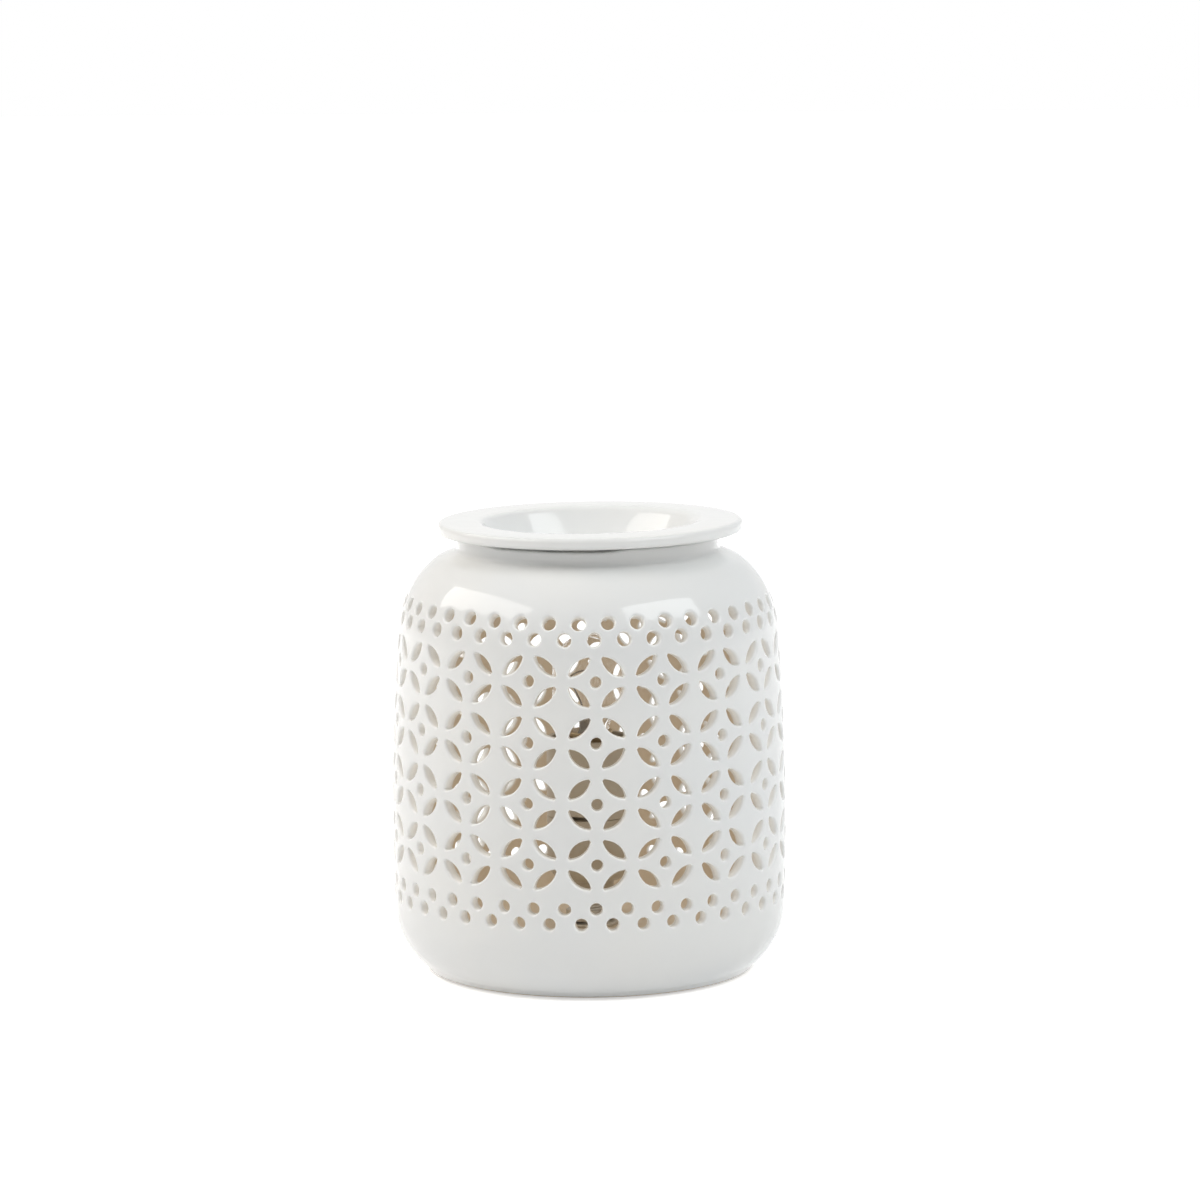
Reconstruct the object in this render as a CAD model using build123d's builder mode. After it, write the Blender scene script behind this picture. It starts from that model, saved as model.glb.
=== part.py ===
from build123d import *
from math import asin, atan2, cos, degrees, radians, sin, sqrt, tan
import os

# Electric oil burner: a pierced porcelain jar with a small lamp inside and an oil dish that hangs in its neck.
# Millimetres. +Z is up, the front is towards -Y, and the origin is on the jar's axis at the surface it stands on.

# jar, outside line: foot arc, long wall arc, shoulder arc, neck
jar_bottom = 0.6
foot_arc_radius = 25.3
foot_arc_height = 22.0
foot_angles = (-42, -22, 0)
foot_inner_angle = -12
belly_radius = 64.5
belly_height = 49.0
wall_arc_radius = 800.0
shoulder_arc_radius = 29.9
shoulder_centre = (32.05, 111.4)
shoulder_angles = (4.4, 16.8, 31, 45, 59)
neck_radius = 42.5
neck_root = 139.2
neck_top = 142.3
lip_chamfer = 1.3
wall = 4.0

# jar, foot
foot_recess_radius = 45.5
felt_seat_radius = 48.0
felt_radius = 47.6
felt_thickness = 2.2
floor_under = 10.0
floor_top = 14.0
stem_hole_radius = 5.4

# piercing: columns of four flowers between two double rings of dots; the wall has two flats to a column
columns = 18
flats = 2 * columns
flower_rows = 4
flower_pitch = 19.4
first_flower = 45.8
column_turn = 2.1
petal_length = 10.4
petal_width = 4.2
flower_dot_radius = 2.2
flower_dot_sides = 4
ring_dots = 40
ring_dot_radius = 2.5
ring_dot_sides = 4
ring_heights = (26.5, 31.5, 117.5, 122.5)
ring_turns = (-2.5, 1.8, 1.8, -2.9)
punch_start = 50.0
punch_length = 20.0

# oil dish
dish_radius = 49.8
dish_top = 148.3
rim_thickness = 4.2
plug_radius = 38.0
plug_seat_arc = 3.4
plug_side_arc = 10.0
dish_bottom = 123.5
bowl_radius = 33.6
bowl_edge_arc = 4.0
bowl_side_arc = 10.5
bowl_bottom = 127.5

# lamp holder: a base and a sleeve that snap together round an insulating core
holder_radius = 14.0
holder_wall = 1.8
holder_bottom = 24.5
holder_split = 50.3
holder_top = 76.2
collar_radius = 7.8
base_shoulder = 35.0
cup_floor = 36.0
core_ledge = 43.4
core_ledge_width = 1.0
core_flange_radius = 11.9
core_flange_top = 45.2
core_radius = 9.5
core_bottom = 38.0
core_top = 52.0
spigot_radius = 12.0
spigot_wall = 1.2
spigot_cone = (51.3, 53.3)
latch_width = 6.0
latch_height = 1.4
latch_turn = -12.0
terminal_offset = 5.6
terminal_size = (4.4, 6.0, 7.0)
terminal_bottom = 38.6
wire_bore = 1.3
screw_radius = 1.2
screw_head_radius = 2.0
screw_length = 2.4
screw_head_height = 1.2
screw_slot = 0.5
shell_radius = 7.45
shell_wall = 0.3
shell_bottom = 52.0
shell_top = 73.5
strip_width = 3.0
strip_thickness = 0.5
tongue_rise = 1.5
lock_screw_clearance = 1.0

# threaded stem that clamps the holder to the floor of the jar
stem_radius = 5.0
stem_bore = 3.6
stem_bottom = 3.6
stem_top = 33.4
nut_across_flats = 14.0
nut_height = 4.2
washer_radius = 9.5
washer_thickness = 1.0
lock_screw_height = 27.0
lock_screw_radius = 1.3

# small screw bulb
cap_radius = 6.95
cap_wall = 0.3
cap_bottom = 57.6
cap_top = 75.4
cap_flare_radius = 7.7
cap_rim = 78.2
insulator_radius = 5.75
insulator_rim = 57.2
insulator_top = 59.2
eyelet_radius = 2.4
eyelet_bottom = 54.2
eyelet_top = 55.2
eyelet_chamfer = 0.5
glass_radius = 12.0
glass_wall = 0.7
glass_bottom = 73.6
glass_neck_top = 79.0
glass_shoulder = 88.0
glass_side_top = 98.0
mount_radius = 3.2
mount_flare = (75.0, 78.0)
mount_pinch = 82.0
mount_pinch_radius = 2.4
mount_top = 85.0
lead_radius = 0.25
lead_foot = 1.9
lead_spread = 6.4
filament_height = 95.5
filament_rise = 2.6
filament_radius = 0.3

# way out for the supply cord, an oval hole through the back of the foot with a shouldered bush that can't turn in it
cord_hole_size = (10.4, 7.2)
cord_hole_height = 6.3
cord_bore = 2.6
bush_shoulder = (14.0, 7.2)
bush_start = 43.4
bush_seat = 45.0
bush_end = 60.0

os.makedirs("parts", exist_ok=True)


def wall_radius(height):
    """Outside radius of the jar on its long, gently swelling wall."""
    return belly_radius - wall_arc_radius + sqrt(wall_arc_radius**2 - (height - belly_height) ** 2)


def arc_points(centre, radius, angles):
    """Points of a circle in the section plane, at angles in degrees from level."""
    return [(centre[0] + radius * cos(radians(a)), centre[1] + radius * sin(radians(a))) for a in angles]


def bowl_line(half_width, depth, side_arc, height):
    """Two tangent arcs from a bowl's upright side down to its lowest point on the axis, as their via points."""
    run = half_width - side_arc
    bottom_arc = (run**2 + depth**2 - side_arc**2) / (2 * (depth - side_arc))
    bottom_centre = (0, height - depth + bottom_arc)
    lean = degrees(atan2(bottom_centre[1] - height, run))
    via_side, joint = arc_points((run, height), side_arc, (-lean / 2, -lean))
    via_bottom, lowest = arc_points(bottom_centre, bottom_arc, (-(90 + lean) / 2, -90))
    return via_side, joint, via_bottom, lowest


def save(piece, name):
    """Label a finished piece and write it to its own file."""
    piece.part.label = name
    export_step(piece.part, "parts/" + name + ".step")
    print(name, len(piece.part.solids()), round(piece.part.volume))


# The jar's section is drawn in straight steps, so each flat of its wall is a plane. The steps end between the holes,
# at the same heights inside and out.
foot_centre = (wall_radius(foot_arc_height) - foot_arc_radius, foot_arc_height)
foot_edge_angle = -degrees(asin((foot_arc_height - jar_bottom) / foot_arc_radius))
wall_heights = [first_flower + (row - 0.5) * flower_pitch for row in range(flower_rows)]
shoulder_steps = arc_points(shoulder_centre, shoulder_arc_radius, shoulder_angles)
outside = arc_points(foot_centre, foot_arc_radius, (foot_edge_angle, *foot_angles))
outside += [(wall_radius(height), height) for height in wall_heights]
outside += shoulder_steps + [(neck_radius, neck_root), (neck_radius, neck_top)]
neck_bore = neck_radius - wall
inside = [(neck_bore, neck_top), (neck_bore, neck_root - wall)]
for _, height in reversed(shoulder_steps[:-1]):
    rise = (height - shoulder_centre[1]) / (shoulder_arc_radius - wall)
    inside += arc_points(shoulder_centre, shoulder_arc_radius - wall, (degrees(asin(rise)),))
inside += [(wall_radius(height) - wall, height) for height in reversed(wall_heights)]
inside += arc_points(foot_centre, foot_arc_radius - wall, (0, foot_inner_angle))
under = [
    (inside[-1][0] - wall, floor_top),
    (stem_hole_radius, floor_top),
    (stem_hole_radius, floor_under),
    (foot_recess_radius, floor_under),
    (foot_recess_radius, felt_thickness),
    (felt_seat_radius, felt_thickness),
    (felt_seat_radius, jar_bottom),
]
flat_angle = 180 / flats
flat_width = 2 * (belly_radius + wall) * tan(radians(flat_angle))
quarter_pitch = flower_pitch / 4
petal_lean = degrees(atan2(2 * quarter_pitch, 2 * belly_radius * tan(radians(flat_angle))))
petal_third = petal_length / 6
petal_bulge = petal_width / 2 * (1 - (petal_third / (petal_length / 2)) ** 2)
petal_outline = [
    (-petal_length / 2, 0),
    (-petal_third, -petal_bulge),
    (petal_third, -petal_bulge),
    (petal_length / 2, 0),
    (petal_third, petal_bulge),
    (-petal_third, petal_bulge),
]
dot_edge = Plane.XZ.rotated((0, 0, -flat_angle))
plain_edge = Plane.XZ.rotated((0, 0, flat_angle))

# one column of the wall: a flat facing +X with its petals and the half dots on its edge, and its mirror image
with BuildPart() as wall_column:
    with BuildSketch(Plane.XZ.offset(-flat_width / 2)) as jar_section:
        with BuildLine():
            Polyline(*outside, *inside, *under, close=True)
        make_face()
        chamfer(jar_section.vertices().group_by(Axis.Y)[-1], length=lip_chamfer)
    extrude(amount=flat_width)
    split(bisect_by=dot_edge, keep=Keep.BOTTOM)
    split(bisect_by=plain_edge, keep=Keep.TOP)
    with BuildSketch(Plane.YZ.offset(punch_start)):
        for row in range(flower_rows):
            flower_height = first_flower + row * flower_pitch
            with Locations((0, flower_height + quarter_pitch)):
                Polygon(*petal_outline, rotation=-petal_lean, align=None)
            with Locations((0, flower_height - quarter_pitch)):
                Polygon(*petal_outline, rotation=petal_lean, align=None)
    extrude(amount=punch_length, mode=Mode.SUBTRACT)
    with BuildSketch(Plane.YZ.rotated((0, 0, -flat_angle)).offset(punch_start)):
        with Locations(*[(0, first_flower + row * flower_pitch) for row in range(flower_rows)]):
            RegularPolygon(flower_dot_radius, flower_dot_sides)
    extrude(amount=punch_length, mode=Mode.SUBTRACT)
    mirror(about=dot_edge)

with BuildPart() as dot_punch:
    with BuildSketch(Plane.YZ.offset(punch_start)):
        RegularPolygon(ring_dot_radius, ring_dot_sides)
    extrude(amount=punch_length)

with BuildPart() as pierced_jar:
    with PolarLocations(0, columns, start_angle=column_turn + flat_angle - 90):
        add(wall_column.part)
    for ring_height, ring_turn in zip(ring_heights, ring_turns):
        with Locations((0, 0, ring_height)):
            with PolarLocations(0, ring_dots, start_angle=ring_turn - 90):
                add(dot_punch.part, mode=Mode.SUBTRACT)
    with BuildSketch(Plane.XZ.offset(-foot_recess_radius + wall)):
        with Locations((0, cord_hole_height)):
            SlotOverall(*cord_hole_size)
    extrude(amount=-punch_length, mode=Mode.SUBTRACT)
save(pierced_jar, "pierced_jar")

# felt glued into the foot; the burner stands on it
with BuildPart() as felt_base:
    Cylinder(felt_radius, felt_thickness, align=(Align.CENTER, Align.CENTER, Align.MIN))
save(felt_base, "felt_base")

# dish: a flat rim with a full round edge, and a bowl that hangs in the neck and is centred by its seat arc
rim_under = dish_top - rim_thickness
rim_round = rim_thickness / 2
rim_centre = (dish_radius - rim_round, dish_top - rim_round)
seat_centre = (plug_radius + plug_seat_arc, rim_under - plug_seat_arc)
edge_centre = (bowl_radius + bowl_edge_arc, dish_top - bowl_edge_arc)
plug = bowl_line(plug_radius, seat_centre[1] - dish_bottom, plug_side_arc, seat_centre[1])
bowl = bowl_line(bowl_radius, edge_centre[1] - bowl_bottom, bowl_side_arc, edge_centre[1])
with BuildPart() as oil_dish:
    with BuildSketch(Plane.XZ):
        with BuildLine():
            ThreePointArc(plug[3], plug[2], plug[1])
            ThreePointArc(plug[1], plug[0], (plug_radius, seat_centre[1]))
            ThreePointArc(*arc_points(seat_centre, plug_seat_arc, (180, 135, 90)))
            Line((seat_centre[0], rim_under), (rim_centre[0], rim_under))
            ThreePointArc(*arc_points(rim_centre, rim_round, (-90, 0, 90)))
            Line((rim_centre[0], dish_top), (edge_centre[0], dish_top))
            ThreePointArc(*arc_points(edge_centre, bowl_edge_arc, (90, 135, 180)))
            ThreePointArc((bowl_radius, edge_centre[1]), bowl[0], bowl[1])
            ThreePointArc(bowl[1], bowl[2], bowl[3])
            Line(bowl[3], plug[3])
        make_face()
    revolve(axis=Axis.Z)
save(oil_dish, "oil_dish")

# threaded stem, with a washer and a nut on each side of the jar's floor
with BuildPart() as threaded_stem:
    with BuildSketch(Plane.XY.offset(stem_bottom)):
        Circle(stem_radius)
        Circle(stem_bore, mode=Mode.SUBTRACT)
    extrude(amount=stem_top - stem_bottom)
save(threaded_stem, "threaded_stem")

with BuildPart() as stem_washers:
    for washer_height in (floor_top, floor_under - washer_thickness):
        with BuildSketch(Plane.XY.offset(washer_height)):
            Circle(washer_radius)
            Circle(stem_radius, mode=Mode.SUBTRACT)
        extrude(amount=washer_thickness)
save(stem_washers, "stem_washers")

with BuildPart() as stem_nuts:
    for nut_bottom in (floor_top + washer_thickness, floor_under - washer_thickness - nut_height):
        with BuildSketch(Plane.XY.offset(nut_bottom)):
            RegularPolygon(nut_across_flats / 2, 6, major_radius=False)
            Circle(stem_radius, mode=Mode.SUBTRACT)
        extrude(amount=nut_height)
save(stem_nuts, "stem_nuts")

# holder base: a collar that screws onto the stem, opening into a cup
cup_radius = holder_radius - holder_wall
base_arc = holder_radius - collar_radius
with BuildPart() as holder_base:
    with BuildSketch(Plane.XZ):
        with BuildLine():
            Polyline(
                (cup_radius, holder_split),
                (cup_radius, core_ledge),
                (cup_radius - core_ledge_width, core_ledge),
                (cup_radius - core_ledge_width, cup_floor),
                (stem_radius, cup_floor),
                (stem_radius, holder_bottom),
                (collar_radius, holder_bottom),
                (collar_radius, base_shoulder - base_arc),
            )
            ThreePointArc(*arc_points((collar_radius, base_shoulder), base_arc, (-90, -45, 0)))
            Polyline((holder_radius, base_shoulder), (holder_radius, holder_split), (cup_radius, holder_split))
        make_face()
    revolve(axis=Axis.Z)
    with BuildSketch(Plane.XZ.offset(lock_screw_clearance - stem_radius)):
        with Locations((0, lock_screw_height)):
            Circle(lock_screw_radius)
    extrude(amount=-collar_radius, mode=Mode.SUBTRACT)
save(holder_base, "holder_base")

with BuildPart() as lock_screw:
    with BuildSketch(Plane.XZ.offset(-stem_radius)):
        with Locations((0, lock_screw_height)):
            Circle(lock_screw_radius)
    extrude(amount=-(collar_radius - stem_radius))
    with BuildSketch(Plane.XZ.offset(-collar_radius)):
        with Locations((0, lock_screw_height)):
            Rectangle(2 * lock_screw_radius, screw_slot)
    extrude(amount=screw_slot, mode=Mode.SUBTRACT)
save(lock_screw, "lock_screw")

# holder sleeve, with a spigot that snaps into the base and a latch window above the joint
with BuildPart() as holder_sleeve:
    with BuildSketch(Plane.XZ):
        Polygon(
            (holder_radius, holder_split),
            (holder_radius, holder_top),
            (cup_radius, holder_top),
            (cup_radius, spigot_cone[1]),
            (spigot_radius - spigot_wall, spigot_cone[0]),
            (spigot_radius - spigot_wall, core_flange_top),
            (spigot_radius, core_flange_top),
            (spigot_radius, holder_split),
            align=None,
        )
    revolve(axis=Axis.Z)
    with BuildSketch(Plane.XZ.rotated((0, 0, latch_turn)).offset(core_radius)):
        with Locations((0, holder_split + latch_height / 2)):
            Rectangle(latch_width, latch_height)
    extrude(amount=holder_radius, mode=Mode.SUBTRACT)
save(holder_sleeve, "holder_sleeve")

# insulating core, with a pocket for each terminal and a slot for each contact strip
terminal_inner = terminal_offset - terminal_size[0] / 2
strip_centre = terminal_inner + strip_thickness / 2
terminal_top = terminal_bottom + terminal_size[2]
with BuildPart() as holder_core:
    with BuildSketch(Plane.XZ):
        Polygon(
            (0, core_bottom),
            (core_radius, core_bottom),
            (core_radius, core_ledge),
            (core_flange_radius, core_ledge),
            (core_flange_radius, core_flange_top),
            (core_radius, core_flange_top),
            (core_radius, core_top),
            (0, core_top),
            align=None,
        )
    revolve(axis=Axis.Z)
    with BuildSketch(Plane.XY.offset(core_bottom)):
        for side in (-1, 1):
            with Locations((side * (terminal_inner + core_radius / 2), 0)):
                Rectangle(core_radius, terminal_size[1])
    extrude(amount=terminal_top - core_bottom, mode=Mode.SUBTRACT)
    with BuildSketch(Plane.XY.offset(core_bottom)):
        for side in (-1, 1):
            with Locations((side * strip_centre, 0)):
                Rectangle(strip_thickness, strip_width)
    extrude(amount=core_top - core_bottom, mode=Mode.SUBTRACT)
save(holder_core, "holder_core")

# brass terminals with a wire hole down through them, and a clamp screw in the side of each
with BuildPart() as terminals:
    with BuildSketch(Plane.XY.offset(terminal_bottom)):
        for side in (-1, 1):
            with Locations((side * terminal_offset, 0)):
                Rectangle(terminal_size[0], terminal_size[1])
                Circle(wire_bore, mode=Mode.SUBTRACT)
    extrude(amount=terminal_size[2])
    with BuildSketch(Plane.YZ):
        with Locations((0, terminal_bottom + terminal_size[2] / 3)):
            Circle(screw_radius)
    extrude(amount=core_radius, both=True, mode=Mode.SUBTRACT)
save(terminals, "terminals")

with BuildPart() as terminal_screws:
    for side in (-1, 1):
        outer_face = terminal_offset + terminal_size[0] / 2
        with BuildSketch(Plane.YZ.offset(side * (outer_face + screw_head_height))):
            with Locations((0, terminal_bottom + terminal_size[2] / 3)):
                Circle(screw_radius)
        extrude(amount=-side * screw_length)
        with BuildSketch(Plane.YZ.offset(side * outer_face)):
            with Locations((0, terminal_bottom + terminal_size[2] / 3)):
                Circle(screw_head_radius)
        extrude(amount=side * screw_head_height)
        with BuildSketch(Plane.YZ.offset(side * (outer_face + screw_head_height))):
            with Locations((0, terminal_bottom + terminal_size[2] / 3)):
                Rectangle(2 * screw_head_radius, screw_slot)
        extrude(amount=-side * screw_slot, mode=Mode.SUBTRACT)
save(terminal_screws, "terminal_screws")

# live contact: a strip up from one terminal that ends in a springy tongue under the bulb
with BuildPart() as centre_contact:
    with BuildSketch(Plane.XZ):
        with BuildLine():
            Polyline(
                (-strip_centre, terminal_top + strip_thickness / 2),
                (-strip_centre, core_top + strip_thickness / 2),
                (-strip_centre / 2, core_top + strip_thickness / 2),
                (0, core_top + tongue_rise),
                (strip_centre / 3, core_top + tongue_rise),
            )
            offset(amount=strip_thickness / 2, kind=Kind.ARC)
        make_face()
    extrude(amount=strip_width / 2, both=True)
save(centre_contact, "centre_contact")

# screw shell: a brass tube that takes the bulb's cap, with a strip down to the other terminal
with BuildPart() as screw_shell:
    with BuildSketch(Plane.XY.offset(shell_bottom)):
        Circle(shell_radius)
        Circle(shell_radius - shell_wall, mode=Mode.SUBTRACT)
    extrude(amount=shell_top - shell_bottom)
    with BuildSketch(Plane.XY.offset(shell_bottom)):
        with Locations(((strip_centre + shell_radius) / 2 - strip_thickness / 2, 0)):
            Rectangle(shell_radius - strip_centre - shell_wall + strip_thickness, strip_width)
    extrude(amount=strip_thickness)
    with BuildSketch(Plane.XY.offset(terminal_top)):
        with Locations((strip_centre, 0)):
            Rectangle(strip_thickness, strip_width)
    extrude(amount=shell_bottom + strip_thickness - terminal_top)
save(screw_shell, "screw_shell")

# bulb: brass cap, glass insulator and eyelet
cap_inner = cap_radius - cap_wall
with BuildPart() as bulb_cap:
    with BuildSketch(Plane.XZ):
        Polygon(
            (cap_inner, cap_bottom),
            (cap_radius, cap_bottom),
            (cap_radius, cap_top),
            (cap_flare_radius, cap_rim),
            (cap_flare_radius - cap_wall, cap_rim),
            (cap_inner, cap_top),
            align=None,
        )
    revolve(axis=Axis.Z)
save(bulb_cap, "bulb_cap")

with BuildPart() as bulb_insulator:
    with BuildSketch(Plane.XZ):
        Polygon(
            (0, eyelet_top),
            (eyelet_radius, eyelet_top),
            (insulator_radius, insulator_rim),
            (cap_inner, cap_bottom),
            (cap_inner, insulator_top),
            (0, insulator_top),
            align=None,
        )
    revolve(axis=Axis.Z)
save(bulb_insulator, "bulb_insulator")

with BuildPart() as bulb_eyelet:
    with BuildSketch(Plane.XY.offset(eyelet_bottom)):
        Circle(eyelet_radius)
    extrude(amount=eyelet_top - eyelet_bottom)
    chamfer(bulb_eyelet.edges().group_by(Axis.Z)[0], length=eyelet_chamfer)
save(bulb_eyelet, "bulb_eyelet")

# glass envelope, blown: a neck cemented in the cap, a swelling of two tangent arcs, a short side and a dome
swell_width = glass_radius - cap_inner
swell_rise = glass_shoulder - glass_neck_top
swell_arc = (swell_width**2 + swell_rise**2) / (4 * swell_width)
swell_angle = degrees(asin(swell_rise / (2 * swell_arc)))
neck_centre = (cap_inner + swell_arc, glass_neck_top)
swell_centre = (glass_radius - swell_arc, glass_shoulder)
with BuildPart() as bulb_glass:
    for shrink, glass_mode in ((0, Mode.ADD), (glass_wall, Mode.SUBTRACT)):
        with BuildSketch(Plane.XZ):
            with BuildLine():
                Line((0, glass_bottom), (cap_inner - shrink, glass_bottom))
                Line((cap_inner - shrink, glass_bottom), (cap_inner - shrink, glass_neck_top))
                ThreePointArc(*arc_points(neck_centre, swell_arc + shrink, (180, 180 - swell_angle / 2, 180 - swell_angle)))
                ThreePointArc(*arc_points(swell_centre, swell_arc - shrink, (-swell_angle, -swell_angle / 2, 0)))
                Line((glass_radius - shrink, glass_shoulder), (glass_radius - shrink, glass_side_top))
                ThreePointArc(*arc_points((0, glass_side_top), glass_radius - shrink, (0, 45, 90)))
                Line((0, glass_side_top + glass_radius - shrink), (0, glass_bottom))
            make_face()
        revolve(axis=Axis.Z, mode=glass_mode)
save(bulb_glass, "bulb_glass")

# glass mount inside the bulb, which closes its neck and carries the two leads
with BuildPart() as bulb_mount:
    with BuildSketch(Plane.XZ):
        Polygon(
            (0, glass_bottom),
            (cap_inner - glass_wall, glass_bottom),
            (cap_inner - glass_wall, mount_flare[0]),
            (mount_radius, mount_flare[1]),
            (mount_radius, mount_pinch),
            (mount_pinch_radius, mount_top),
            (0, mount_top),
            align=None,
        )
    revolve(axis=Axis.Z)
save(bulb_mount, "bulb_mount")

with BuildPart() as lead_wires:
    for side in (-1, 1):
        with BuildLine():
            lead_path = Line((side * lead_foot, 0, mount_top), (side * lead_spread, 0, filament_height))
        with BuildSketch(Plane(lead_path @ 0, z_dir=lead_path % 0)):
            Circle(lead_radius)
        sweep(path=lead_path)
    split(bisect_by=Plane.XY.offset(mount_top), keep=Keep.TOP)
save(lead_wires, "lead_wires")

# filament: a fine coil arched from lead to lead, drawn as the round bar that its turns fill
with BuildPart() as filament:
    with BuildLine():
        coil_path = ThreePointArc(
            (-lead_spread, 0, filament_height + lead_radius),
            (0, 0, filament_height + filament_rise),
            (lead_spread, 0, filament_height + lead_radius),
        )
    with BuildSketch(Plane(coil_path @ 0, z_dir=coil_path % 0)):
        Circle(filament_radius)
    sweep(path=coil_path)
save(filament, "filament")

# rubber bush in the back of the foot, where the supply cord leaves, with a shoulder inside that stops it pulling out
with BuildPart() as cord_bush:
    for outline, start, end in ((bush_shoulder, bush_start, bush_seat), (cord_hole_size, bush_seat, bush_end)):
        with BuildSketch(Plane.XZ.offset(-start)):
            with Locations((0, cord_hole_height)):
                SlotOverall(*outline)
                Circle(cord_bore, mode=Mode.SUBTRACT)
        extrude(amount=-(end - start))
save(cord_bush, "cord_bush")
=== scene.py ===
from math import acos, asin, atan2, cos, degrees, hypot, pi, radians, sin, sqrt, tan

import bmesh
import bpy
from mathutils import Matrix, Vector
from mathutils.geometry import delaunay_2d_cdt, interpolate_bezier


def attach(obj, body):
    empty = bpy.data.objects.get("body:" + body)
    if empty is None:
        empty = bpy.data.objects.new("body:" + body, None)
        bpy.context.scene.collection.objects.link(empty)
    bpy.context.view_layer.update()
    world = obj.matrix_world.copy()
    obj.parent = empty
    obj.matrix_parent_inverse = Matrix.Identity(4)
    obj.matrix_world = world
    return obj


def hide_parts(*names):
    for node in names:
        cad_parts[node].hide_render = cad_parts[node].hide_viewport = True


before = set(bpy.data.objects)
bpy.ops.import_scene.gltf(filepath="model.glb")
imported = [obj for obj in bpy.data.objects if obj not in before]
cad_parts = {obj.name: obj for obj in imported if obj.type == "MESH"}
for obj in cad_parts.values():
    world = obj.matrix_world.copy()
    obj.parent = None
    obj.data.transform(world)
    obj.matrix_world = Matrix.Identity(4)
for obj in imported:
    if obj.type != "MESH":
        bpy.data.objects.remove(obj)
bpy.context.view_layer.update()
scene = bpy.context.scene
mm = 0.001
print("frame loaded")


# small helpers for node trees

# gives a node's inputs their links or plain values
def plug(node, inputs):
    for key, value in inputs.items():
        if isinstance(value, bpy.types.NodeSocket):
            value.id_data.links.new(value, node.inputs[key])
        else:
            node.inputs[key].default_value = value


# adds a node to the tree that its inputs come from, or to a given one
def wire(kind, inputs=(), tree=None, **settings):
    inputs = dict(inputs)
    tree = tree or next(v.id_data for v in inputs.values() if isinstance(v, bpy.types.NodeSocket))
    node = tree.nodes.new(kind)
    for name, value in settings.items():
        setattr(node, name, value)
    plug(node, inputs)
    return node.outputs


def grow(kind, inputs=(), **settings):
    return wire("GeometryNode" + kind, inputs, **settings)


def calc(operation, *values):
    return wire("ShaderNodeMath", enumerate(values), operation=operation)[0]


def vectorCalc(operation, *values):
    return wire("ShaderNodeVectorMath", enumerate(values), operation=operation)[0]


def lengthOf(line):
    return wire("ShaderNodeVectorMath", {0: line}, operation="LENGTH")["Value"]


def scaled(line, size):
    return wire("ShaderNodeVectorMath", {0: line, "Scale": size}, operation="SCALE")[0]


def parts(line):
    return wire("ShaderNodeSeparateXYZ", {0: line})


def vector(x=0.0, y=0.0, z=0.0):
    return wire("ShaderNodeCombineXYZ", {0: x, 1: y, 2: z})[0]


def fadeIn(value, start, end):
    limits = {0: value, 1: start, 2: end}
    return wire("ShaderNodeMapRange", limits, interpolation_type="SMOOTHSTEP")[0]


# where a point lies on a piece, in a material and in a Geometry Nodes tree

def placeOn(tree, kind="Object"):
    return wire("ShaderNodeTexCoord", tree=tree)[kind]


def placeIn(tree):
    return parts(grow("InputPosition", tree=tree)[0])


def shapeOf(item):
    return grow("ObjectInfo", {"Object": item})["Geometry"]


# a Geometry Nodes tree with named inputs and a finish; its shape comes in and goes out as Geometry
def newTree(name, **sockets):
    tree = bpy.data.node_groups.new(name, "GeometryNodeTree")
    for way in ("INPUT", "OUTPUT"):
        tree.interface.new_socket(name="Geometry", in_out=way, socket_type="NodeSocketGeometry")
    for kind, names in {**sockets, "Material": ("Finish",)}.items():
        for socket in names:
            tree.interface.new_socket(name=socket, in_out="INPUT", socket_type="NodeSocket" + kind)
    return tree, tree.nodes.new("NodeGroupInput").outputs


def endTree(shape, given):
    real = grow("RealizeInstances", {0: shape})[0]
    done = grow("SetMaterial", {"Geometry": real, "Material": given["Finish"]})[0]
    wire("NodeGroupOutput", {0: done})
    return shape.id_data


# small helpers for meshes

def addObject(name, data):
    item = bpy.data.objects.new(name, data)
    scene.collection.objects.link(item)
    return item


# an object's mesh with its modifier applied; the object itself goes
def settled(name, worker):
    mesh = bpy.data.meshes.new_from_object(worker.evaluated_get(bpy.context.evaluated_depsgraph_get()))
    worker.modifiers.clear()
    bpy.data.objects.remove(worker)
    mesh.name = name
    return mesh


# runs a tree, its lengths given in millimetres, on a mesh or on nothing, and keeps the plain mesh
def growMesh(name, tree, slot, lengths, others=(), start=None):
    worker = addObject(name, start or bpy.data.meshes.new(name + "Start"))
    modifier = worker.modifiers.new(name, "NODES")
    modifier.node_group = tree
    values = {"Finish": finishes[slot], **dict(others)}
    values.update((key, length * mm) for key, length in lengths.items())
    for item in tree.interface.items_tree:
        if item.item_type == "SOCKET" and item.in_out == "INPUT" and item.name in values:
            modifier[item.identifier] = values[item.name]
    return settled(name, worker)


# what is left of a mesh where another one is cut away
def cutAway(name, mesh, cutter):
    piece, tool = addObject(name, mesh), addObject(name + "Cutter", cutter)
    modifier = piece.modifiers.new("cut", "BOOLEAN")
    modifier.object, modifier.operation, modifier.solver = tool, "DIFFERENCE", "EXACT"
    left = settled(name, piece)
    bpy.data.objects.remove(tool)
    return left


def meshFrom(bm, name, finish=None):
    mesh = bpy.data.meshes.new(name)
    bm.to_mesh(mesh)
    bm.free()
    if finish:
        mesh.materials.append(finish)
    mesh.shade_smooth()
    return mesh


# makes a mesh the piece of a body that stands for a node
def newObject(name, mesh, body, slot, node):
    if isinstance(mesh, bmesh.types.BMesh):
        mesh = meshFrom(mesh, name, finishes[slot])
    piece = addObject(name, mesh)
    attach(piece, body)
    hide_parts(node)
    return piece


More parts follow.
